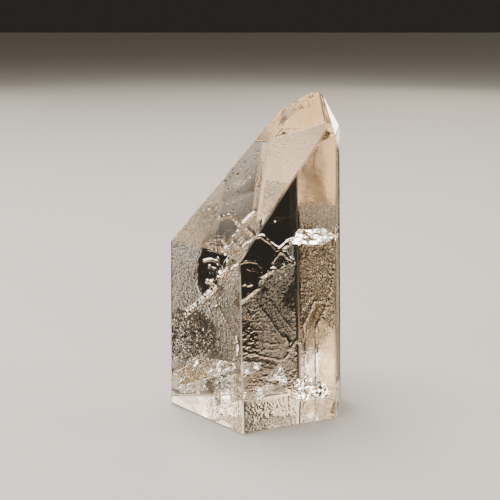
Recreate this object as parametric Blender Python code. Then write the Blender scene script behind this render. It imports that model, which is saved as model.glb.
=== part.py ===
"""Polished quartz point: one clear crystal, sawn flat at its foot and ground flat on every face.

Metres, +Z up. The origin is at the middle of the foot, on the surface that the point stands on.
X runs across the point, and its front is at -Y, where the edge between the two front walls stands.
"""
import math
import random

import bmesh
import bpy
from mathutils import Matrix, Vector

MM = 0.001

# ---------------------------------------------------------------- driving dimensions
# The walls of the prism: the way each looks (0 = front, 90 = right), how far it leans in
# going up, both in degrees, and how far it is from the origin at the foot, in mm.
# The back left wall is in two flats, which meet in the growth line across it.
WALLS = {
    "front_left": (-41.3, 0.8, 12.4),
    "front_right": (19.8, 2.1, 12.2),
    "right": (78.6, 2.0, 18.0),
    "back_right": (137.2, 1.7, 14.9),
    "back_left": (-161.0, 0.6, 11.1),
    "back_left_upper": (-161.0, 1.4, 11.68),
    "left": (-101.0, 1.5, 18.6),
}

# The faces of the tip: the way each looks, its slope from level, both in degrees, and the
# height in mm at which its plane crosses the upright line through the origin.
TIP_FACES = {
    "great_face": (-41.2, 55.6, 54.8),
    "left_face": (-101.0, 51.2, 59.2),
    "back_left_face": (-172.5, 52.2, 68.9),
    "back_right_face": (147.4, 65.9, 84.9),
    "right_face": (75.0, 63.1, 91.4),
    "front_right_face": (50.0, 51.8, 79.0),
    "shoulder_sliver": (-31.8, 59.5, 58.2),
}

BLANK_SIZE = (60.0, 60.0, 90.0)   # rough stone that the faces are ground on, mm
EDGE_BEVEL = 0.25                 # width of the eased edges, mm

# Growth pits, all on the back left wall: a row under the growth line and a scatter above it.
GROWTH_LINE_HEIGHT = 41.5         # mm
PIT_ROW_DROP = 1.2                # the row's distance below the growth line, mm
PIT_ROW_SPAN = (-13.0, 5.0)       # across the wall, mm
PIT_ROW_COUNT = 9
PIT_SCATTER_SPAN = (-2.0, 7.0)    # across the wall, mm
PIT_SCATTER_HEIGHTS = (43.5, 51.5)
PIT_SCATTER_COUNT = 12
PIT_RADIUS = (0.28, 0.55)         # smallest and largest, mm
PIT_DEPTH_RATIO = 0.45
PIT_SIDES = 6
PIT_CLEARANCE = 0.35              # between two pits, mm
PIT_SEED = 11

# Small nicks knocked out of the edges: the two faces whose edge each one is on, its height
# and its radius in mm.
NICKS = (
    ("great_face", "left_face", 44.3, 0.55),
    ("right", "back_right", 55.0, 0.40),
    ("front_right", "right", 3.2, 0.60),
    ("back_left", "left", 22.0, 0.70),
    ("back_right", "back_left", 12.0, 0.80),
)
NICK_BITE = 0.45                  # share of a nick's radius that goes into the stone


def facing(azimuth, slope):
    """Outward normal of a face that looks to azimuth and slopes by slope from level."""
    a = math.radians(azimuth)
    s = math.radians(slope)
    return Vector((math.sin(s) * math.sin(a), -math.sin(s) * math.cos(a), math.cos(s)))


def face_planes():
    """Every ground face as a point on it and its outward normal, in metres."""
    planes = {}
    for name, (azimuth, lean, distance) in WALLS.items():
        planes[name] = (facing(azimuth, 90.0) * distance * MM, facing(azimuth, 90.0 - lean))
    for name, (azimuth, slope, height) in TIP_FACES.items():
        planes[name] = (Vector((0.0, 0.0, height * MM)), facing(azimuth, slope))
    return planes


def edge_point(plane_a, plane_b, height):
    """The point at a height on the edge where two faces meet."""
    rows = Matrix((plane_a[1], plane_b[1], Vector((0.0, 0.0, 1.0))))
    sides = Vector((plane_a[1].dot(plane_a[0]), plane_b[1].dot(plane_b[0]), height * MM))
    return rows.inverted() @ sides


def grind(bm, point, normal):
    """Take off all that stands in front of a plane, and close the flat that it leaves."""
    geometry = bm.verts[:] + bm.edges[:] + bm.faces[:]
    cut = bmesh.ops.bisect_plane(bm, geom=geometry, dist=1e-7, plane_co=point,
                                 plane_no=normal, clear_outer=True)
    rim = [item for item in cut["geom_cut"] if isinstance(item, bmesh.types.BMEdge)]
    bmesh.ops.edgeloop_fill(bm, edges=rim)


def new_object(name, bm):
    mesh = bpy.data.meshes.new(name)
    bm.to_mesh(mesh)
    bm.free()
    thing = bpy.data.objects.new(name, mesh)
    bpy.context.scene.collection.objects.link(thing)
    return thing


def make_crystal(planes):
    bm = bmesh.new()
    bmesh.ops.create_cube(bm, size=1.0)
    bmesh.ops.scale(bm, verts=bm.verts, vec=Vector(BLANK_SIZE) * MM)
    bmesh.ops.translate(bm, verts=bm.verts, vec=(0.0, 0.0, BLANK_SIZE[2] * MM / 2))
    for point, normal in planes.values():
        grind(bm, point, normal)
    bmesh.ops.bevel(bm, geom=bm.edges[:], offset=EDGE_BEVEL * MM, segments=1, profile=0.5,
                    affect="EDGES", clamp_overlap=True)
    bmesh.ops.recalc_face_normals(bm, faces=bm.faces)
    return new_object("quartz_point", bm)


def pit_places():
    """Where the pits are on the back left wall: across it, up it, and how wide, in mm."""
    dice = random.Random(PIT_SEED)
    places = []
    first, last = PIT_ROW_SPAN
    for i in range(PIT_ROW_COUNT):
        across = first + (last - first) * i / (PIT_ROW_COUNT - 1) + dice.uniform(-0.5, 0.5)
        height = GROWTH_LINE_HEIGHT - PIT_ROW_DROP - dice.uniform(0.0, 0.5)
        places.append((across, height, dice.uniform(*PIT_RADIUS)))
    while len(places) < PIT_ROW_COUNT + PIT_SCATTER_COUNT:
        across = dice.uniform(*PIT_SCATTER_SPAN)
        height = dice.uniform(*PIT_SCATTER_HEIGHTS)
        radius = dice.uniform(*PIT_RADIUS)
        if all(math.dist((across, height), p[:2]) > radius + p[2] + PIT_CLEARANCE for p in places):
            places.append((across, height, radius))
    return places


def make_pit_cutter(planes):
    """Shallow cones that stand on the back left wall with their points in the stone."""
    bm = bmesh.new()
    for across, height, radius in pit_places():
        upper = height > GROWTH_LINE_HEIGHT
        origin, normal = planes["back_left_upper" if upper else "back_left"]
        # the wall's own level direction and its own way up
        level = Vector((0.0, 0.0, 1.0)).cross(normal).normalized()
        if level.x < 0:
            level.negate()
        rise = normal.cross(level).normalized()
        if rise.z < 0:
            rise.negate()
        centre = origin + level * across * MM + rise * (height * MM / rise.z)
        depth = radius * PIT_DEPTH_RATIO
        # the cone is twice as tall as the pit is deep, so half of it stands clear of the wall
        turn = Vector((0.0, 0.0, 1.0)).rotation_difference(-normal).to_matrix().to_4x4()
        bmesh.ops.create_cone(bm, cap_ends=True, segments=PIT_SIDES, radius1=2 * radius * MM,
                              radius2=0.0, depth=2 * depth * MM,
                              matrix=Matrix.Translation(centre) @ turn)
    return new_object("growth_pits", bm)


def make_nick_cutter(planes):
    """Small round bites, each centred just outside the edge that it is taken from."""
    bm = bmesh.new()
    for name_a, name_b, height, radius in NICKS:
        outward = (planes[name_a][1] + planes[name_b][1]).normalized()
        centre = edge_point(planes[name_a], planes[name_b], height)
        centre += outward * radius * (1.0 - NICK_BITE) * MM
        bmesh.ops.create_icosphere(bm, subdivisions=2, radius=radius * MM,
                                   matrix=Matrix.Translation(centre))
    return new_object("edge_nicks", bm)


def cut_with(target, cutter):
    cutter.hide_render = True
    cutter.display_type = "WIRE"
    boolean = target.modifiers.new(cutter.name, "BOOLEAN")
    boolean.operation = "DIFFERENCE"
    boolean.solver = "EXACT"
    boolean.object = cutter


def make_quartz():
    material = bpy.data.materials.new("clear_quartz")
    material.use_nodes = True
    shader = material.node_tree.nodes["Principled BSDF"]
    shader.inputs["Base Color"].default_value = (0.95, 0.91, 0.86, 1.0)
    shader.inputs["Roughness"].default_value = 0.03
    shader.inputs["Metallic"].default_value = 0.0
    shader.inputs["IOR"].default_value = 1.544
    shader.inputs["Transmission Weight"].default_value = 1.0
    return material


for old in list(bpy.data.objects):
    bpy.data.objects.remove(old)

ground_planes = face_planes()
quartz_point = make_crystal(ground_planes)
quartz_point.data.materials.append(make_quartz())
cut_with(quartz_point, make_pit_cutter(ground_planes))
cut_with(quartz_point, make_nick_cutter(ground_planes))
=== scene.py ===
import math
import random

import bpy
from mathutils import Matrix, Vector, noise


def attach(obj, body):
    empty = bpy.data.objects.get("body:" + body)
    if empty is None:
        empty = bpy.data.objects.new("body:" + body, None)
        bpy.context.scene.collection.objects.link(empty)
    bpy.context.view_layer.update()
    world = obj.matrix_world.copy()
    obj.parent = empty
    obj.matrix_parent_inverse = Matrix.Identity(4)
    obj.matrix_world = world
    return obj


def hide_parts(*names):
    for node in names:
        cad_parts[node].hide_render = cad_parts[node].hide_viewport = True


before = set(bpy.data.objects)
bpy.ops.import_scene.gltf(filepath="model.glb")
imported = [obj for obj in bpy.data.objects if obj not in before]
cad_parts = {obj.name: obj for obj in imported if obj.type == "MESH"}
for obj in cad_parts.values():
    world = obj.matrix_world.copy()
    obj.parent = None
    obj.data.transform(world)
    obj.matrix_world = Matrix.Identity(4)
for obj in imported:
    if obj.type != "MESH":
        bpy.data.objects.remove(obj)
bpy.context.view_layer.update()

mm = 0.001
weldDistance = 1e-6             # metres
onPlane = 0.002                 # mm; a spot nearer than this to a flat lies on it


crystal = {
    "mergeAngle": 0.3,          # degrees; flatter joins than this are dissolved
    "smallestFace": 1.5,        # square mm; a ground face is at least this big
    "sameFlat": 2,              # degrees between two flats that count as one
    "edgeAngle": 8,             # degrees; sharper edges than this are eased
    "roundingWidth": 0.11,      # mm, taken off each side of the eased edges
    "roundingSteps": 2,
    "wornWidth": 0.2,           # mm from an edge that its wear reaches
    "smoothArea": 0.12,         # square mm; larger facets are shaded flat
    "tint": (0.92, 0.80, 0.62),  # what is left of white light, as a colour
    "tintDensity": 17.0,        # per metre
    "index": 1.544,             # quartz
    "wallRoughness": 0.05,      # of the back right wall
    "edgeRoughness": 0.30,
}


def deselectAll():
    if bpy.context.object and bpy.context.object.mode != "OBJECT":
        bpy.ops.object.mode_set(mode="OBJECT")
    bpy.ops.object.select_all(action="DESELECT")


def takeUp(thing):
    # makes one object the active and only selected one
    deselectAll()
    thing.select_set(True)
    bpy.context.view_layer.objects.active = thing


def facing(azimuth, slope):
    # azimuth from the front and slope from level, in degrees
    turn, lean = math.radians(azimuth), math.radians(slope)
    level = math.sin(lean)
    return Vector((level * math.sin(turn), -level * math.cos(turn), math.cos(lean)))


def wallFacing(faces, towards):
    # the ground face nearest to this direction
    return max(faces, key=lambda face: face[1].dot(facing(*towards)))


def otherFlats(faces, outward):
    # the flats that meet this one at an edge
    apart = math.radians(crystal["sameFlat"])
    return [face for face in faces if face[1].angle(outward) > apart]


def offPlane(spot, point, outward):
    return abs((spot - point).dot(outward))


def edgeDistance(spot, outward, others):
    # from a spot on a flat to the flat's nearest edge
    return min((place - spot).dot(away) / away.cross(outward).length for place, away in others)


def groundFaces(thing, smallest):
    # the flat faces of the stone, as a point and an outward normal for each
    faces = []
    for polygon in thing.data.polygons:
        if polygon.area > smallest * mm * mm:
            faces.append((polygon.center.copy(), polygon.normal.copy()))
    return faces


def makeStone():
    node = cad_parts["quartz_point"]
    takeUp(node)
    bpy.ops.object.duplicate()
    stone = bpy.context.object
    stone.name = "quartzPoint"
    stone.data.materials.clear()
    bpy.ops.object.mode_set(mode="EDIT")
    bpy.ops.mesh.select_all(action="SELECT")
    bpy.ops.mesh.remove_doubles(threshold=weldDistance)
    bpy.ops.mesh.dissolve_limited(angle_limit=math.radians(crystal["mergeAngle"]))
    bpy.ops.object.mode_set(mode="OBJECT")
    faces = groundFaces(stone, crystal["smallestFace"])
    rounding = stone.modifiers.new("rounding", "BEVEL")
    rounding.width = crystal["roundingWidth"] * mm
    rounding.segments = crystal["roundingSteps"]
    rounding.limit_method = "ANGLE"
    rounding.angle_limit = math.radians(crystal["edgeAngle"])
    rounding.use_clamp_overlap = True
    bpy.ops.object.modifier_apply(modifier="rounding")
    print("stone", len(stone.data.polygons), "faces,", len(faces), "of them ground flats")
    return stone, faces


def onFlat(polygon, flats):
    # true on the ground flats and their relief, false on the narrow rounded edges between them
    for point, outward, others in flats:
        if offPlane(polygon.center, point, outward) > etching["deepestRelief"] * mm:
            continue
        if polygon.normal.angle(outward) > etching["steepestRelief"]:
            continue
        if edgeDistance(polygon.center, outward, others) > crystal["wornWidth"] * mm:
            return True
    return False


def wearEdges(stone, faces):
    worn = stone.data.attributes.new("wornEdge", "FLOAT", "FACE")
    flats = [(point, outward, otherFlats(faces, outward)) for point, outward in faces]
    for polygon in stone.data.polygons:
        flat = onFlat(polygon, flats)
        worn.data[polygon.index].value = 0.0 if flat else 1.0
        # only the fine relief is shaded smooth
        polygon.use_smooth = flat and polygon.area < crystal["smoothArea"] * mm * mm


# The natural walls at the back are etched. For each wall: its azimuth and slope, the step of its
# grid, the heights the grid covers and how rough the frosting makes it. The grain is a depth and
# a size in millimetres, coarse in "coarseBox" (x and z) and fine elsewhere. Each patch has the
# share of grain and of frosting left inside it, how soft its border is, and its corners (x and z).
# Later patches lie over earlier ones. Each groove has a width, how steep its sides are, how much
# grain it carries and the points it runs through (x and z).
walls = {
    "backLeft": {
        "towards": (-161.0, 89.4), "step": 0.19, "rows": (0, 41), "seed": 5, "frost": 0.37,
        "coarse": (0.16, 0.46), "fine": (0.11, 0.40), "coarseBox": ((-30, 30), (-5, 23.5)),
        "patches": {
            "footLeft": (0, 0, 1.5, ((-30, -5), (-30, 6.5), (-5, 6.5), (-5, -5))),
            "footRight": (0.5, 0.25, 1.0, ((-5, -5), (-5, 5.5), (9, 5.5), (9, -5))),
            "middle": (0.9, 1, 1.5, ((-6.5, 15), (-6, 24), (10.5, 28.5), (10.5, 13))),
            "speckledBlock": (1.8, 1, 0.5, ((-2.5, 27.5), (3.6, 30.9), (7.2, 29.4), (0.6, 24.2))),
            "ladder": (0.4, 1, 1.5, ((-6, 6), (-6, 16), (5, 16), (5, 6))),
            "leftWall": (0.9, 0.8, 0.8, (
                (-16.5, 35.1), (-8.0, 34.1), (-9.0, 26.7), (-6.6, 23.5), (-10.3, 20.0),
                (-16.9, 21.5),
            )),
            "darkLeft": (0.9, 0.2, 1.0, (
                (-17.5, 20.5), (-9.4, 21.0), (-3.2, 16.9), (-2.5, 8.6), (-9.2, 6.7), (-17.8, 9.9),
            )),
            "upperWindow": (0, 0, 0.8, (
                (6.6, 53.2), (6.7, 39.6), (2.3, 33.8), (-5.7, 31.9), (-5.5, 47.5),
            )),
            "lowerWindow": (0, 0, 0.7, (
                (-5.0, 38.5), (1.7, 34.0), (0.6, 31.3), (-3.1, 26.3), (-6.3, 23.5), (-8.7, 26.3),
                (-8.1, 31.5), (-7.2, 34.8),
            )),
            "beigePanel": (0.45, 1, 0.5, (
                (-0.7, 22.7), (4.9, 22.6), (5.3, 8.2), (2.2, 8.3), (0.5, 13.3),
            )),
            "layers": (0.3, 0.35, 0.5, (
                (-6.1, 10.1), (-1.9, 9.5), (2.3, 7.9), (0.3, 6.0), (-6.1, 7.3),
            )),
            "darkRight": (0.5, 0.5, 0.5, (
                (6.5, 28.7), (6.6, 22.0), (5.9, 19.0), (4.3, 19.4), (0.8, 23.1), (4.1, 25.2),
            )),
            "band": (0.25, 0.9, 0.6, ((-2.9, 22.9), (-0.3, 22.6), (5.2, 14.4), (3.9, 11.5))),
        },
        "grooves": {
            "crossLeft": (1.20, 0.38, 0.2, ((-4.4, 37.1), (-1.8, 37.3), (1.8, 33.9))),
            "crossUp": (1.70, 0.38, 0.1, ((1.8, 33.9), (4.4, 35.6), (7.1, 37.7))),
            "crossRight": (1.30, 0.38, 0.2, ((2.2, 33.8), (4.3, 31.7), (6.9, 29.4))),
            "crossDown": (1.20, 0.38, 0.1, ((2.2, 33.8), (0.4, 31.5), (-1.8, 28.2), (-3.5, 25.9))),
            "crossBlob": (1.80, 0.38, 0.1, ((-2.0, 28.4), (-0.7, 29.2), (0.5, 29.7))),
            "ribbon": (1.70, 0.38, 0.1, ((-2.9, 25.8), (-6.3, 23.5), (-9.1, 21.4), (-11.9, 19.8))),
            "arc": (0.75, 0.38, 0.0, (
                (-6.6, 31.6), (-5.4, 31.9), (-4.1, 31.9), (-2.6, 31.4), (-1.4, 29.9),
            )),
            "fanA": (0.50, 0.36, 0.0, ((-5.2, 29.9), (-3.7, 27.5))),
            "fanB": (0.50, 0.36, 0.0, ((-4.5, 30.2), (-3.0, 27.6))),
            "fanC": (0.50, 0.36, 0.0, ((-3.9, 30.1), (-2.4, 27.8))),
            "fanD": (0.80, 0.38, 0.1, ((-5.0, 30.4), (-3.1, 29.8), (-1.8, 28.2))),
            "ovalA": (1.10, 0.38, 0.0, ((-5.7, 27.1), (-5.5, 27.1))),
            "ovalB": (1.20, 0.38, 0.0, ((-4.7, 26.9), (-4.2, 26.9))),
            "ovalC": (0.90, 0.38, 0.0, ((-3.8, 27.3), (-3.7, 27.3))),
            "lobe": (0.70, 0.36, 0.0, ((-8.7, 26.6), (-8.0, 25.1), (-6.6, 23.9))),
            "faint": (0.50, 0.20, 0.0, ((-4.1, 36.5), (-1.3, 36.8))),
            "hook": (0.70, 0.38, 0.0, ((-2.2, 32.3), (-2.5, 31.4), (-1.8, 30.3))),
            "speckRim": (0.90, 0.38, 0.2, ((4.1, 30.9), (1.7, 29.7), (0.4, 29.1))),
            "bandLeft": (0.55, 0.38, 0.2, ((-3.1, 23.1), (-0.6, 19.1), (2.5, 14.0), (3.9, 11.2))),
            "bandRight": (0.55, 0.38, 0.2, ((-0.1, 22.8), (2.3, 19.0), (5.4, 14.6))),
            "bandSpot": (1.40, 0.38, 0.4, ((3.4, 13.7), (4.1, 12.4), (4.1, 10.7))),
            "leafA": (0.60, 0.38, 0.0, ((-5.3, 21.8), (-3.4, 20.9), (-1.8, 21.8))),
            "leafB": (0.60, 0.38, 0.0, ((-5.1, 21.4), (-4.2, 19.3), (-1.8, 21.6))),
            "leafC": (0.50, 0.30, 0.0, ((-4.0, 20.9), (-3.8, 19.5))),
            "ladderA": (0.60, 0.19, 0.1, ((-5.8, 14.7), (-3.8, 16.1), (-1.7, 16.0), (1.0, 15.0))),
            "ladderB": (0.60, 0.19, 0.1, ((-1.4, 17.4), (-1.7, 14.2), (-1.9, 10.9))),
            "ladderC": (0.60, 0.19, 0.1, ((0.8, 16.6), (1.0, 13.8), (2.1, 11.5))),
            "ladderD": (0.60, 0.19, 0.1, ((-0.1, 14.9), (0.1, 12.0))),
            "ladderE": (0.60, 0.19, 0.1, ((-5.4, 13.5), (-2.8, 13.6), (-0.1, 12.5), (2.7, 12.1))),
            "layerA": (0.60, 0.21, 0.2, ((-5.8, 12.9), (-1.9, 11.4), (2.3, 10.8))),
            "layerC": (0.40, 0.14, 0.1, ((-5.7, 9.1), (-2.8, 8.9), (0.3, 7.5))),
            "layerD": (0.40, 0.14, 0.1, ((-5.5, 7.9), (-2.4, 7.6), (-0.2, 6.3))),
            "layerE": (0.45, 0.17, 0.1, ((-5.7, 6.5), (-3.3, 5.9), (-1.1, 4.8))),
            "layerB": (0.70, 0.22, 0.3, ((-5.9, 11.5), (-1.9, 9.9), (2.1, 8.5))),
            "creamLowLeft": (0.90, 0.38, 0.2, ((6.8, 14.8), (4.8, 11.4), (3.0, 8.3))),
            "creamLowRight": (0.90, 0.38, 0.2, ((6.8, 8.5), (6.1, 7.3))),
        },
    },
    "backLeftUpper": {
        "towards": (-161.0, 88.6), "step": 0.28, "rows": (41, 60), "seed": 8, "frost": 0.0,
        "coarse": (0.004, 0.60), "fine": (0.004, 0.42), "coarseBox": ((-30, 30), (0, 1)),
        "patches": {}, "grooves": {},
    },
    "backRight": {
        "towards": (137.2, 88.3), "step": 0.21, "rows": (16, 46.5), "seed": 6, "frost": 0.24,
        "coarse": (0.24, 0.55), "fine": (0.1, 0.42), "coarseBox": ((-30, 30), (17, 40)),
        "patches": {
            "topVeil": (0.9, 2, 1.0, ((-30, 39), (-30, 60), (30, 60), (30, 39))),
            "clearTop": (0, 0, 0.4, ((-30, 44.4), (-30, 60), (30, 60), (30, 44.4))),
            "clearFoot": (0, 0, 1.5, ((-30, 0), (-30, 18), (30, 18), (30, 0))),
            "cream": (0, 0, 0.6, ((10.3, 22.5), (13.5, 23.2), (7.9, 10.4), (7.5, 16.1))),
        },
        "grooves": {
            "creamLeft": (0.90, 0.38, 0.2, ((10.3, 22.8), (8.6, 18.7), (7.5, 16.3))),
            "creamRight": (0.90, 0.38, 0.2, ((13.7, 23.4), (11.4, 17.9), (8.9, 12.4), (7.6, 9.7))),
            "creamTop": (0.70, 0.38, 0.2, ((10.3, 22.5), (13.5, 23.2))),
            "wallLine": (0.70, 0.38, 0.3, ((14.8, 32.2), (14.2, 25.8), (12.1, 19.6))),
        },
    },
}
etching = {
    "deepestGroove": 0.6,       # mm, more than any groove above
    "deepestRelief": 0.45,      # mm under its wall
    "steepestRelief": 1,        # radians from its wall
    "sameTurn": 0.002,          # radians between two parts of one wall
    "inset": 0.25,              # mm between the wall's edge and its grid
    "margin": 0.35,             # mm of every wall that stays untouched along its edges
    "fade": 0.4,                # mm from there to the full depth
    "noiseSeed": 4,             # any number but 0, which would mean the clock
    "seedShift": 3.7,           # from one wall's part of the noise to the next
    "raggedSize": 0.9,          # mm, of the small wandering of every outline
    "raggedReach": 0.22,        # mm
    "wanderSize": 4,            # mm, of the wide wandering of the patches
    "boxSoftness": 1.5,         # mm
    "grainClouds": 2.6,         # mm; the grain comes and goes
    "usualGrain": 0.8,
    "leastGrain": 0.35,
    "veilClouds": 3.2,          # mm; so does the frosting
    "usualVeil": 0.9,
    "veilSwing": 1.2,
    "leastVeil": 0.3,
    "grainyDepth": 0.1,         # mm; a groove carries all its grain from this depth down
    "clearDepth": 0.15,         # mm; a groove has no frosting from this depth down
    "contrast": 1.8,            # the lowest part of the grain is cut off flat, so that
    "brightness": 0.92,         # sound stone shows between the pits
}


def blend(value, soft):
    # 0 well outside a border, 1 well inside, one half on it
    return max(0.0, min(1.0, value / soft + 0.5))


def insidePatch(spot, corners):
    # how far inside a convex patch, whichever way its corners run
    sides = []
    for here, there in zip(corners, corners[1:] + corners[:1]):
        run = Vector(there) - Vector(here)
        sides.append((run.x * (spot.y - here[1]) - run.y * (spot.x - here[0])) / run.length)
    return max(min(sides), min(-side for side in sides))


def grooveDepth(spot, grooves):
    # the deepest groove at this spot, in mm, and the grain it carries
    deepest, grain = 0.0, 0.0
    for width, slope, rough, points in grooves.values():
        for here, there in zip(points, points[1:]):
            here, there = Vector(here), Vector(there)
            run = there - here
            along = max(0.0, min(1.0, (spot - here).dot(run) / run.length_squared))
            depth = slope * (width / 2 - (here + run * along - spot).length)
            if depth > deepest:
                deepest, grain = depth, rough
    return deepest, grain


def displace(thing, name, strength, texture=None):
    push = thing.modifiers.new(name, "DISPLACE")
    push.vertex_group = name
    push.strength = strength
    push.mid_level = 0.0
    if texture:
        push.texture = texture
        push.texture_coords = "LOCAL"
    bpy.ops.object.modifier_apply(modifier=name)


def gridWall(stone, shape, point, outward):
    # insets the wall and cuts it into a fine grid
    level = Vector((0, 0, 1)).cross(outward).normalized()
    rise = outward.cross(level)
    takeUp(stone)
    for polygon in stone.data.polygons:
        near = offPlane(polygon.center, point, outward) < onPlane * mm
        polygon.select = near and polygon.normal.angle(outward) < etching["sameTurn"]
    bpy.ops.object.mode_set(mode="EDIT")
    bpy.ops.mesh.select_mode(type="FACE")
    bpy.ops.mesh.inset(thickness=etching["inset"] * mm)
    bpy.ops.mesh.hide(unselected=True)
    across = [(vertex.co - point).dot(level) for vertex in stone.data.vertices
              if offPlane(vertex.co, point, outward) < onPlane * mm]
    upward = [(height * mm - point.z) / rise.z for height in shape["rows"]]
    for axis, reach in ((level, across), (rise, upward)):
        place = min(reach) + shape["step"] * mm
        while place < max(reach):
            bpy.ops.mesh.select_all(action="SELECT")
            bpy.ops.mesh.bisect(
                plane_co=point + axis * place, plane_no=axis, threshold=weldDistance)
            place += shape["step"] * mm
    bpy.ops.mesh.reveal(select=False)
    bpy.ops.object.mode_set(mode="OBJECT")


def boxShare(spot, box):
    # 1 in the middle of the box, 0 well outside
    (left, right), (low, high) = box
    return min(blend(inside, etching["boxSoftness"])
               for inside in (spot.x - left, right - spot.x, spot.y - low, high - spot.y))


def grainAndVeil(place, spot, drift, patches):
    # how strong the grain and the frosting are at a spot
    grain = etching["usualGrain"] + noise.noise(place / (etching["grainClouds"] * mm) + drift)
    grain = max(etching["leastGrain"], min(1.0, grain))
    veil = noise.noise(place / (etching["veilClouds"] * mm) - drift)
    veil = etching["usualVeil"] + etching["veilSwing"] * veil
    veil = max(etching["leastVeil"], min(1.0, veil))
    for grainShare, veilShare, soft, corners in patches.values():
        share = blend(insidePatch(spot, corners), soft)
        grain += (grainShare - grain) * share
        veil += (veilShare - veil) * share
    return grain, veil


def carveWall(stone, name, shape, faces):
    point, outward = wallFacing(faces, shape["towards"])
    others = otherFlats(faces, outward)
    gridWall(stone, shape, point, outward)
    kinds = ("groove", "coarse", "fine")
    groups = {kind: stone.vertex_groups.new(name=name + kind) for kind in kinds}
    frost = {}
    drift = Vector((0, 0, shape["seed"] * etching["seedShift"]))
    for vertex in stone.data.vertices:
        if offPlane(vertex.co, point, outward) > onPlane * mm:
            continue
        border = edgeDistance(vertex.co, outward, others) / mm
        if border < etching["margin"]:
            continue
        edge = min(1.0, (border - etching["margin"]) / etching["fade"])
        ragged = noise.noise_vector(vertex.co / (etching["raggedSize"] * mm) + drift)
        ragged = ragged * etching["raggedReach"]
        wander = noise.noise_vector(vertex.co / (etching["wanderSize"] * mm) + drift) + ragged * 2
        spot = Vector((vertex.co.x / mm, vertex.co.z / mm))
        depth, rough = grooveDepth(spot + Vector((ragged.x, ragged.z)), shape["grooves"])
        spot += Vector((wander.x, wander.z))
        coarse = boxShare(spot, shape["coarseBox"])
        grain, veil = grainAndVeil(vertex.co, spot, drift, shape["patches"])
        grain = max(grain, rough * min(1.0, depth / etching["grainyDepth"]))
        veil *= max(0.0, 1 - depth / etching["clearDepth"])
        frost[vertex.index] = shape["frost"] * edge * veil
        weights = {
            "groove": depth / etching["deepestGroove"],
            "coarse": min(1.0, grain) * coarse,
            # the weight stops at 1, so the fine grain is half as heavy and cut twice as deep
            "fine": grain / 2 * (1 - coarse),
        }
        for kind, weight in weights.items():
            groups[kind].add([vertex.index], edge * weight, "REPLACE")
    # vertex groups move the attributes, so the frosting is written when they are done
    dullness = stone.data.attributes["frost"].data
    for index, amount in frost.items():
        dullness[index].value = amount
    displace(stone, name + "groove", -etching["deepestGroove"] * mm)
    for kind in ("coarse", "fine"):
        depth, size = shape[kind]
        relief = bpy.data.textures.new(name + kind, "CLOUDS")
        relief.noise_scale = size * mm
        relief.noise_depth = 1
        relief.noise_type = "HARD_NOISE"
        relief.contrast = etching["contrast"]
        relief.intensity = etching["brightness"]
        displace(stone, name + kind, -depth * mm * (2 if kind == "fine" else 1), relief)
    print(name, "wall carved,", len(stone.data.polygons), "faces")


# Cracks are thin gaps inside the stone. Each one is a sheet with its corners in millimetres,
# bent by slow waves, fine grain and the shell-like ribs that a break leaves in quartz.
cracks = {
    "topWhiteCrack": {
        "outline": (
            (6.5, 5.5, 39.1), (12.5, 4.7, 39.6), (15.3, 1.6, 38.6), (12.9, -0.9, 37.2),
            (7.6, 0.4, 37.1), (5.5, 1.9, 37.5),
        ),
        "wave": 0.50, "waveSize": 2.5, "grain": 0.06, "grainSize": 0.8, "ribs": 0.03,
        "finish": "bright", "seed": 3,
    },
    "wedgeCrack": {
        "outline": ((3.1, 2.7, 10.8), (0.3, 0.1, 7.6), (5.5, -4.3, 7.8)),
        "wave": 0.35, "waveSize": 2.0, "grain": 0.05, "grainSize": 0.8, "ribs": 0.03,
        "finish": "bright", "seed": 5,
    },
    "footFlash": {
        "outline": (
            (4.4, 1.6, 5.2), (7.0, 3.2, 6.5), (8.6, 5.3, 7.8), (10.8, 4.0, 7.4), (13.4, 0.4, 5.8),
            (15.4, -1.1, 5.2), (14.9, -3.4, 3.9), (8.3, -2.9, 3.2), (5.4, -1.5, 3.6),
        ),
        "wave": 0.45, "waveSize": 2.6, "grain": 0.03, "grainSize": 1.0, "ribs": 0.03,
        "finish": "shattered", "seed": 7,
    },
    "squiggle": {
        "outline": ((-0.3, -1.8, 6.8), (4.9, -0.6, 6.6), (5.5, -2.0, 5.2), (-0.1, -3.6, 5.1)),
        "wave": 0.50, "waveSize": 1.6, "grain": 0.05, "grainSize": 0.8, "ribs": 0.00,
        "finish": "bright", "seed": 9,
    },
    "lowerLeft": {
        "outline": (
            (-16.4, 4.6, 5.7), (-9.2, 6.3, 10.1), (-0.9, 0.3, 11.4), (-1.1, -2.1, 10.2),
            (-8.9, -0.7, 7.0), (-16.4, 0.4, 3.8),
        ),
        "wave": 0.35, "waveSize": 3.0, "grain": 0.06, "grainSize": 0.9, "ribs": 0.02,
        "finish": "bright", "seed": 11,
    },
    "teeth": {
        "outline": ((-15.6, 4.6, 4.2), (-8.8, 1.6, 6.9), (-8.8, -2.1, 5.1), (-15.9, 1.3, 2.3)),
        "wave": 0.60, "waveSize": 1.6, "grain": 0.05, "grainSize": 0.8, "ribs": 0.00,
        "finish": "bright", "seed": 13,
    },
    "smallFlash": {
        "outline": ((-2.5, -0.5, 5.8), (1.0, 0.1, 6.2), (0.0, -4.0, 4.5), (-3.3, -4.9, 4.0)),
        "wave": 0.25, "waveSize": 2.0, "grain": 0.03, "grainSize": 0.8, "ribs": 0.00,
        "finish": "bright", "seed": 15,
    },
    "columnFlash": {
        "outline": ((-6.1, 1.4, 4.0), (-3.9, 1.2, 4.5), (-5.5, -3.2, 2.6), (-6.9, -3.2, 2.2)),
        "wave": 0.20, "waveSize": 2.0, "grain": 0.03, "grainSize": 0.8, "ribs": 0.00,
        "finish": "bright", "seed": 17,
    },
}
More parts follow.
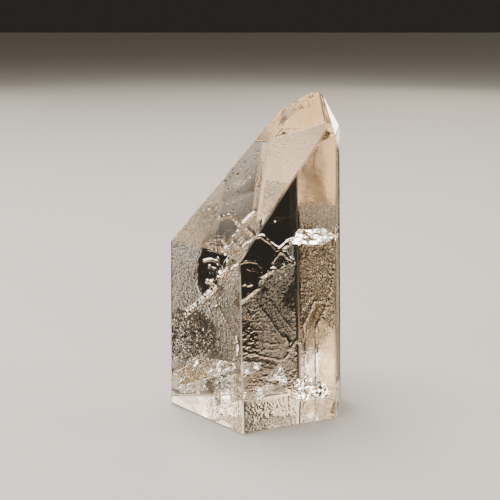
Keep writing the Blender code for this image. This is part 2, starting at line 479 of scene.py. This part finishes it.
crackMake = {
    "gap": 0.03,                # mm between a crack's two walls
    "inset": 0.35,              # mm of sound stone between a crack and a ground face
    "step": 0.35,               # mm between the points of the sheet
    "lip": (0.08, 0.18, 0.16),  # mm, how far and which way its rim curls
    "ribSpacing": 0.9,          # mm from one rib to the next
    "ringSpacing": 0.314,       # the same in the rib pattern's own units
    "ribTurbulence": 4.0,
}


def addWave(sheet, name, kind, size, depth, anyWay):
    # bends the sheet; sizes are in the sheet's own units
    pattern = bpy.data.textures.new(name, kind)
    if kind == "CLOUDS":
        pattern.noise_scale = size
        pattern.noise_depth = 2
        pattern.cloud_type = "COLOR"
    else:
        pattern.wood_type = "RINGNOISE"
        pattern.noise_scale = size
        pattern.turbulence = crackMake["ribTurbulence"]
    wave = sheet.modifiers.new(name, "DISPLACE")
    wave.texture = pattern
    wave.texture_coords = "LOCAL"
    wave.direction = "RGB_TO_XYZ" if anyWay else "NORMAL"
    wave.strength = 2 * depth
    wave.mid_level = 0.5
    bpy.ops.object.modifier_apply(modifier=name)


def makeCrack(name, shape, faces):
    corners = [Vector(corner) * mm for corner in shape["outline"]]
    centre = sum(corners, Vector()) / len(corners)
    normal = Vector()
    for here, there in zip(corners, corners[1:] + corners[:1]):
        normal += (here - centre).cross(there - centre)
    normal.normalize()
    reach = max((corner - centre).length for corner in corners)
    # the sheet is drawn in units of its ribs' pattern and scaled down when it is done
    unit = crackMake["ribSpacing"] / crackMake["ringSpacing"] * mm
    # its place when it is drawn decides which part of the pattern it gets
    dice = random.Random(shape["seed"])
    start = centre + Vector([dice.uniform(-1, 1) for axis in range(3)]) * reach
    count = math.ceil(2 * reach / (crackMake["step"] * mm))
    deselectAll()
    bpy.ops.mesh.primitive_grid_add(
        x_subdivisions=count, y_subdivisions=count, size=2 * reach / unit, location=start)
    sheet = bpy.context.object
    sheet.name = name
    sheet.rotation_euler = normal.to_track_quat("Z", "Y").to_euler()
    sheet.scale = (unit, unit, unit)
    bpy.context.view_layer.update()
    bpy.ops.object.mode_set(mode="EDIT")
    bpy.ops.mesh.select_all(action="SELECT")
    bpy.ops.transform.translate(value=centre - start)
    cuts = [(here, (there - here).cross(normal).normalized())
            for here, there in zip(corners, corners[1:] + corners[:1])]
    room = crackMake["inset"] + shape["wave"]
    cuts += [(point - outward * room * mm, outward) for point, outward in faces]
    for point, outward in cuts:
        bpy.ops.mesh.select_all(action="SELECT")
        bpy.ops.mesh.bisect(plane_co=point, plane_no=outward, clear_outer=True)
    # the rim curls up
    bpy.ops.mesh.select_all(action="DESELECT")
    bpy.ops.mesh.select_mode(type="EDGE")
    bpy.ops.mesh.select_non_manifold()
    curl = Vector(crackMake["lip"]) * mm
    bpy.ops.mesh.extrude_region_move(TRANSFORM_OT_translate={"value": curl})
    bpy.ops.object.mode_set(mode="OBJECT")
    inUnits = mm / unit
    size, depth = shape["waveSize"] * inUnits, shape["wave"] * inUnits
    addWave(sheet, name + "Wave", "CLOUDS", size, depth, True)
    if shape["ribs"]:
        addWave(sheet, name + "Ribs", "WOOD", 1.0, shape["ribs"] * inUnits, False)
    size, depth = shape["grainSize"] * inUnits, shape["grain"] * inUnits
    addWave(sheet, name + "Grain", "CLOUDS", size, depth, True)
    bpy.ops.object.transform_apply(location=True, rotation=True, scale=True)
    gap = sheet.modifiers.new("gap", "SOLIDIFY")
    gap.thickness = crackMake["gap"] * mm
    gap.offset = 0
    gap.use_even_offset = False
    bpy.ops.object.modifier_apply(modifier="gap")
    # the stone's outside points into the gap
    bpy.ops.object.mode_set(mode="EDIT")
    bpy.ops.mesh.select_all(action="SELECT")
    bpy.ops.mesh.flip_normals()
    bpy.ops.object.mode_set(mode="OBJECT")
    if shape["finish"] != "shattered":
        bpy.ops.object.shade_smooth()
    return sheet


def joinCracks(stone, faces, finishes):
    # the cracks become part of the stone's own mesh
    sheets = []
    for name, shape in cracks.items():
        sheet = makeCrack(name, shape, faces)
        if not sheet.data.polygons:
            print(name, "lies outside the stone")
        for finish in finishes.values():
            sheet.data.materials.append(finish)
        for polygon in sheet.data.polygons:
            polygon.material_index = list(finishes).index(shape["finish"])
        print(name, len(sheet.data.polygons), "faces")
        sheets.append(sheet)
    for finish in finishes.values():
        stone.data.materials.append(finish)
    takeUp(stone)
    for sheet in sheets:
        sheet.select_set(True)
    bpy.ops.object.join()
    print("stone with its cracks", len(stone.data.polygons), "faces")


# The finish of each surface: layers of noise, as scale per metre and strength, and how high they
# stand in millimetres.
finishLooks = {
    "polished": {"name": "polishedQuartz", "layers": ((60, 0.05), (900, 0.012)), "lift": 0.3},
    "bright": {"name": "brightCrack", "layers": ((1600, 0.35), (4500, 0.25)), "lift": 0.1},
    "shattered": {"name": "shatteredCrack", "layers": ((2500, 0.2), (6000, 0.1)), "lift": 0.05},
}
layerDetail = 3.0
# growth lines run level round the prism
growthLines = {"scale": 2600.0, "detail": 2.0, "squash": (0.06, 0.06, 1.0), "lift": 0.03}
# fine wear and small shallow pits on the slope, in mm
wear = {"scale": 2200.0, "detail": 4.0, "lift": 0.002}
pits = {"towards": (-41, 56), "spacing": 1.3, "radius": 0.28, "depth": 0.06}
# clear and frosted specks in the etching: the noise is stretched and then kept between two limits
specks = {
    "scale": 3000.0, "detail": 2.0, "stretch": 6.0, "offset": -2.2,
    "least": 0.25, "most": 1.4, "lift": 0.25,
}


def newMaterial(name):
    material = bpy.data.materials.new(name)
    material.use_nodes = True
    tree = material.node_tree
    return material, tree, tree.nodes["Principled BSDF"]


def bump(tree, shader, layers, distance):
    # layers of noise, as scale per metre and strength, chained into the shader's normal
    place = tree.nodes.new("ShaderNodeTexCoord")
    last = None
    for scale, strength in layers:
        grain = tree.nodes.new("ShaderNodeTexNoise")
        grain.inputs["Scale"].default_value = scale
        grain.inputs["Detail"].default_value = layerDetail
        tree.links.new(place.outputs["Object"], grain.inputs["Vector"])
        lift = tree.nodes.new("ShaderNodeBump")
        lift.inputs["Strength"].default_value = strength
        lift.inputs["Distance"].default_value = distance
        tree.links.new(grain.outputs["Fac"], lift.inputs["Height"])
        if last:
            tree.links.new(last.outputs["Normal"], lift.inputs["Normal"])
        last = lift
    tree.links.new(last.outputs["Normal"], shader.inputs["Normal"])


def clearStone(look, tinted=False):
    material, tree, shader = newMaterial(look["name"])
    shader.inputs["Base Color"].default_value = (1.0, 1.0, 1.0, 1.0)
    shader.inputs["Roughness"].default_value = 0.0
    shader.inputs["IOR"].default_value = crystal["index"]
    shader.inputs["Transmission Weight"].default_value = 1.0
    if tinted:
        absorb = tree.nodes.new("ShaderNodeVolumeAbsorption")
        absorb.inputs["Color"].default_value = (*crystal["tint"], 1.0)
        absorb.inputs["Density"].default_value = crystal["tintDensity"]
        tree.links.new(absorb.outputs["Volume"], tree.nodes["Material Output"].inputs["Volume"])
    bump(tree, shader, look["layers"], look["lift"] * mm)
    return material


def worked(tree, operation, first, second, third=None):
    # one Math node; its inputs are sockets or numbers
    node = tree.nodes.new("ShaderNodeMath")
    node.operation = operation
    for socket, value in zip(node.inputs, (first, second, third)):
        if value is None:
            continue
        if isinstance(value, (int, float)):
            socket.default_value = value
        else:
            tree.links.new(value, socket)
    return node.outputs["Value"]


def onWall(tree, place, point, outward):
    # 1 on the wall through this point with this outward direction, 0 elsewhere
    height = tree.nodes.new("ShaderNodeVectorMath")
    height.operation = "DOT_PRODUCT"
    height.inputs[1].default_value = outward
    tree.links.new(place, height.inputs[0])
    near = 10 * onPlane * mm    # the bevel leaves the flats a little off
    return worked(tree, "COMPARE", height.outputs["Value"], point.dot(outward), near)


def addLift(tree, shader, height, strength, distance):
    # one more bump on top of those the shader has
    lift = tree.nodes.new("ShaderNodeBump")
    lift.inputs["Distance"].default_value = distance
    tree.links.new(height, lift.inputs["Height"])
    tree.links.new(strength, lift.inputs["Strength"])
    tree.links.new(shader.inputs["Normal"].links[0].from_socket, lift.inputs["Normal"])
    tree.links.new(lift.outputs["Normal"], shader.inputs["Normal"])


def addPits(tree, shader, place, onSlope):
    # round hollows, one in each cell of the pattern
    cells = tree.nodes.new("ShaderNodeTexVoronoi")
    cells.inputs["Scale"].default_value = 1000 / pits["spacing"]
    tree.links.new(place, cells.inputs["Vector"])
    reach = worked(tree, "DIVIDE", cells.outputs["Distance"], pits["radius"] / pits["spacing"])
    hollow = worked(tree, "MINIMUM", reach, 1.0)
    addLift(tree, shader, hollow, onSlope, pits["depth"] * mm)


def finePattern(tree, place, scale, detail):
    pattern = tree.nodes.new("ShaderNodeTexNoise")
    pattern.inputs["Scale"].default_value = scale
    pattern.inputs["Detail"].default_value = detail
    tree.links.new(place, pattern.inputs["Vector"])
    return pattern.outputs["Fac"]


def painted(tree, name):
    # a value kept in the mesh
    node = tree.nodes.new("ShaderNodeAttribute")
    node.attribute_name = name
    return node.outputs["Fac"]


def outsideStone(rightWall, slopeFace):
    material = clearStone(finishLooks["polished"], True)
    tree = material.node_tree
    shader = tree.nodes["Principled BSDF"]
    place = tree.nodes.new("ShaderNodeTexCoord").outputs["Object"]
    onRight = onWall(tree, place, *rightWall)
    stretch = tree.nodes.new("ShaderNodeMapping")
    stretch.inputs["Scale"].default_value = growthLines["squash"]
    tree.links.new(place, stretch.inputs["Vector"])
    stretched = stretch.outputs["Vector"]
    lines = finePattern(tree, stretched, growthLines["scale"], growthLines["detail"])
    addLift(tree, shader, lines, onRight, growthLines["lift"] * mm)
    onSlope = onWall(tree, place, *slopeFace)
    worn = finePattern(tree, place, wear["scale"], wear["detail"])
    addLift(tree, shader, worn, onSlope, wear["lift"] * mm)
    addPits(tree, shader, place, onSlope)
    frost = painted(tree, "frost")
    cloud = finePattern(tree, place, specks["scale"], specks["detail"])
    amount = worked(tree, "MULTIPLY_ADD", cloud, specks["stretch"], specks["offset"])
    amount = worked(tree, "MAXIMUM", amount, specks["least"])
    amount = worked(tree, "MINIMUM", amount, specks["most"])
    amount = worked(tree, "MULTIPLY", amount, frost)
    dull = worked(tree, "MULTIPLY_ADD", onRight, crystal["wallRoughness"], amount)
    addLift(tree, shader, cloud, frost, specks["lift"] * mm)
    edges = painted(tree, "wornEdge")
    dull = worked(tree, "MULTIPLY_ADD", edges, crystal["edgeRoughness"], dull)
    tree.links.new(dull, shader.inputs["Roughness"])
    return material


studio = {
    "floorSize": 7.0,
    "floorGap": 0.15,           # mm, so that the foot still has air under it
    "floorColour": (0.66, 0.645, 0.62),
    "floorShade": 0.97,         # of the darker parts of its grain
    "floorGrain": 14.0,         # per metre
    "floorRoughness": 0.75,
    "floorSeenByStone": False,
    # the air round the stone by height (-90 is straight down)
    "sky": (
        (-90, (0.036, 0.033, 0.029)), (1, (0.036, 0.033, 0.029)), (8, (0.13, 0.112, 0.088)),
        (60, (0.11, 0.096, 0.077)), (90, (0.085, 0.076, 0.064)),
    ),
    # a level strip of light by height, and how much of it there is by the angle from its middle
    "strip": ((-9, (0, 0, 0)), (-8, (2.4, 2.2, 1.9)), (-5, (2.4, 2.2, 1.9)), (-4, (0, 0, 0))),
    "stripTowards": (5, 0),
    "stripSpread": ((80, (0, 0, 0)), (65, (1, 1, 1))),
    # soft round glows: the direction of each, and its colour by the angle from its middle
    "glows": (
        ((-50, -75), (
            (60, (0, 0, 0)), (57, (0.003, 0.002, 0.002)), (54.5, (0.07, 0.052, 0.036)),
            (52, (0.50, 0.38, 0.26)), (46, (1.00, 0.77, 0.54)), (38, (1.30, 0.96, 0.66)),
            (0, (1.50, 1.12, 0.78)),
        )),
        ((55, -24), ((7, (0, 0, 0)), (5, (0.50, 0.41, 0.29)), (0, (0.50, 0.41, 0.29)))),
        ((53, -34.5), (
            (7.2, (0, 0, 0)), (5.2, (0.44, 0.38, 0.30)), (3.5, (0.54, 0.48, 0.40)),
            (0, (0.54, 0.48, 0.40)),
        )),
        ((63, -34), ((5.5, (0, 0, 0)), (4, (0.50, 0.44, 0.37)), (0, (0.50, 0.44, 0.37)))),
        ((26.5, 3), ((4, (0, 0, 0)), (3, (8, 7.8, 7.3)), (0, (8, 7.8, 7.3)))),
        ((61, 56), ((4, (0, 0, 0)), (3, (2.4, 2.2, 2.0)), (0, (2.4, 2.2, 2.0)))),
        ((-57, 28), ((6, (0, 0, 0)), (4.5, (2.2, 2.1, 1.9)), (0, (2.2, 2.1, 1.9)))),
        ((28, -25), ((6.5, (0, 0, 0)), (5, (2.8, 2.6, 2.3)), (0, (2.8, 2.6, 2.3)))),
        ((10, -33), ((5, (0, 0, 0)), (4, (1.2, 1.05, 0.82)), (0, (1.2, 1.05, 0.82)))),
        ((36, -10), ((4, (0, 0, 0)), (3, (2.2, 2.0, 1.7)), (0, (2.2, 2.0, 1.7)))),
        ((-51, -16), ((12, (0, 0, 0)), (8, (0.9, 0.78, 0.62)), (0, (0.9, 0.78, 0.62)))),
    ),
    "lightsAround": (0, 0, 30),  # mm, the middle of the stone
    # each light by its direction from there (azimuth from the back, height), its distance, its
    # size, how bright it looks and its colour
    "lights": {
        "overheadSoftbox": {
            "towards": (-60, 76), "distance": 0.62, "size": (0.46, 0.40),
            "glow": 9.0, "colour": (1, 0.97, 0.93),
        },
        "leftSoftbox": {
            "towards": (-90, 34), "distance": 0.60, "size": (0.34, 0.26),
            "glow": 0.9, "colour": (1, 0.95, 0.88),
        },
        "backRightCard": {
            "towards": (34, 27), "distance": 0.80, "size": (0.92, 0.17),
            "glow": 1.4, "colour": (1, 0.84, 0.64),
        },
        "lowCard": {
            "towards": (17, 15), "distance": 0.80, "size": (0.30, 0.15),
            "glow": 2.6, "colour": (1, 0.88, 0.72),
        },
        "footCard": {
            "towards": (60, 27), "distance": 0.80, "size": (0.16, 0.15),
            "glow": 3.0, "colour": (1, 0.93, 0.82),
        },
        "frontRightFill": {
            "towards": (143, 27), "distance": 0.70, "size": (0.20, 0.12),
            "glow": 4.0, "colour": (1, 0.95, 0.88),
        },
        "backLeftStrip": {
            "towards": (-38, 15), "distance": 0.80, "size": (0.26, 0.12),
            "glow": 7.0, "colour": (1, 0.94, 0.84),
        },
        "frontFill": {
            "towards": (-124, 30), "distance": 0.70, "size": (0.26, 0.22),
            "glow": 3.0, "colour": (1, 0.95, 0.88),
        },
        "rightStrip": {
            "towards": (92, 26), "distance": 0.66, "size": (0.18, 0.30),
            "glow": 4.0, "colour": (1, 0.94, 0.86),
        },
    },
}


def makeFloorMaterial():
    material, tree, shader = newMaterial("paleBoard")
    shader.inputs["Roughness"].default_value = studio["floorRoughness"]
    place = tree.nodes.new("ShaderNodeTexCoord")
    grain = tree.nodes.new("ShaderNodeTexNoise")
    grain.inputs["Scale"].default_value = studio["floorGrain"]
    colour = tree.nodes.new("ShaderNodeMix")
    colour.data_type = "RGBA"
    low = [studio["floorShade"] * part for part in studio["floorColour"]]
    colour.inputs["A"].default_value = (*low, 1.0)
    colour.inputs["B"].default_value = (*studio["floorColour"], 1.0)
    tree.links.new(place.outputs["Object"], grain.inputs["Vector"])
    tree.links.new(grain.outputs["Fac"], colour.inputs["Factor"])
    tree.links.new(colour.outputs["Result"], shader.inputs["Base Color"])
    return material


def makeFloor():
    deselectAll()
    under = (0, 0, -studio["floorGap"] * mm)
    bpy.ops.mesh.primitive_plane_add(size=studio["floorSize"], location=under)
    floor = bpy.context.object
    floor.name = "floor"
    floor.data.materials.append(makeFloorMaterial())
    floor.visible_transmission = studio["floorSeenByStone"]
    floor.visible_glossy = studio["floorSeenByStone"]


def direction(towards):
    # azimuth from the back and height, in degrees
    azimuth, height = [math.radians(angle) for angle in towards]
    level = math.cos(height)
    return Vector((math.sin(azimuth) * level, math.cos(azimuth) * level, math.sin(height)))


def skyPart(tree, place, axis, stops):
    # colours laid out by how far the view is turned towards the axis, from -1 to 1
    turned = tree.nodes.new("ShaderNodeVectorMath")
    turned.operation = "DOT_PRODUCT"
    turned.inputs[1].default_value = axis
    spread = tree.nodes.new("ShaderNodeMapRange")
    spread.inputs["From Min"].default_value = -1.0
    ramp = tree.nodes.new("ShaderNodeValToRGB")
    while len(ramp.color_ramp.elements) < len(stops):
        ramp.color_ramp.elements.new(0.5)
    for stop, (position, colour) in zip(ramp.color_ramp.elements, stops):
        stop.position = 0.5 + 0.5 * position
        stop.color = (*colour, 1.0)
    tree.links.new(place, turned.inputs[0])
    tree.links.new(turned.outputs["Value"], spread.inputs["Value"])
    tree.links.new(spread.outputs["Result"], ramp.inputs["Fac"])
    return ramp.outputs["Color"]


def byHeight(stops):
    return [(math.sin(math.radians(height)), colour) for height, colour in stops]


def byAngle(stops):
    return [(math.cos(math.radians(angle)), colour) for angle, colour in stops]


def mixed(tree, kind, first, second):
    node = tree.nodes.new("ShaderNodeMix")
    node.data_type = "RGBA"
    node.blend_type = kind
    node.inputs["Factor"].default_value = 1.0
    tree.links.new(first, node.inputs["A"])
    tree.links.new(second, node.inputs["B"])
    return node.outputs["Result"]


def makeSky():
    world = bpy.data.worlds.new("studioAir")
    bpy.context.scene.world = world
    world.use_nodes = True
    tree = world.node_tree
    place = tree.nodes.new("ShaderNodeTexCoord").outputs["Generated"]
    air = skyPart(tree, place, (0, 0, 1), byHeight(studio["sky"]))
    strip = skyPart(tree, place, (0, 0, 1), byHeight(studio["strip"]))
    middle = direction(studio["stripTowards"])
    spread = skyPart(tree, place, middle, byAngle(studio["stripSpread"]))
    air = mixed(tree, "ADD", air, mixed(tree, "MULTIPLY", strip, spread))
    for towards, stops in studio["glows"]:
        air = mixed(tree, "ADD", air, skyPart(tree, place, direction(towards), byAngle(stops)))
    tree.links.new(air, tree.nodes["Background"].inputs["Color"])


def makeLights():
    for name, shape in studio["lights"].items():
        light = bpy.data.lights.new(name, "AREA")
        light.shape = "RECTANGLE"
        light.size, light.size_y = shape["size"]
        light.energy = shape["glow"] * math.pi * light.size * light.size_y
        light.color = shape["colour"]
        away = direction(shape["towards"])
        holder = bpy.data.objects.new(name, light)
        holder.location = Vector(studio["lightsAround"]) * mm + away * shape["distance"]
        holder.rotation_euler = away.to_track_quat("Z", "Y").to_euler()
        bpy.context.scene.collection.objects.link(holder)


# the camera: its place in millimetres and how many degrees it looks down
lens = {"focalLength": 57.6, "place": (-1.45, -160.25, 82.8), "pitch": 16.5, "nearest": 5}


def makeCamera():
    data = bpy.data.cameras.new("camera")
    data.lens = lens["focalLength"]
    data.clip_start = lens["nearest"] * mm
    holder = bpy.data.objects.new("camera", data)
    holder.location = Vector(lens["place"]) * mm
    holder.rotation_euler = (math.radians(90 - lens["pitch"]), 0, 0)
    bpy.context.scene.collection.objects.link(holder)
    bpy.context.scene.camera = holder


makeCamera()
makeSky()
makeLights()
makeFloor()
print("studio ready")

stone, faces = makeStone()
stone.data.attributes.new("frost", "FLOAT", "POINT")
noise.seed_set(etching["noiseSeed"])
for name, shape in walls.items():
    carveWall(stone, name, shape, faces)
wearEdges(stone, faces)
rightWall = wallFacing(faces, walls["backRight"]["towards"])
finishes = {
    "polished": outsideStone(rightWall, wallFacing(faces, pits["towards"])),
    "bright": clearStone(finishLooks["bright"]),
    "shattered": clearStone(finishLooks["shattered"]),
}
joinCracks(stone, faces, finishes)

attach(stone, "root")
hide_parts("quartz_point")

bpy.context.scene.view_settings.look = "AgX - Medium High Contrast"
settings = bpy.context.scene.cycles
settings.max_bounces = 32
settings.transmission_bounces = 32
settings.glossy_bounces = 16
settings.transparent_max_bounces = 16
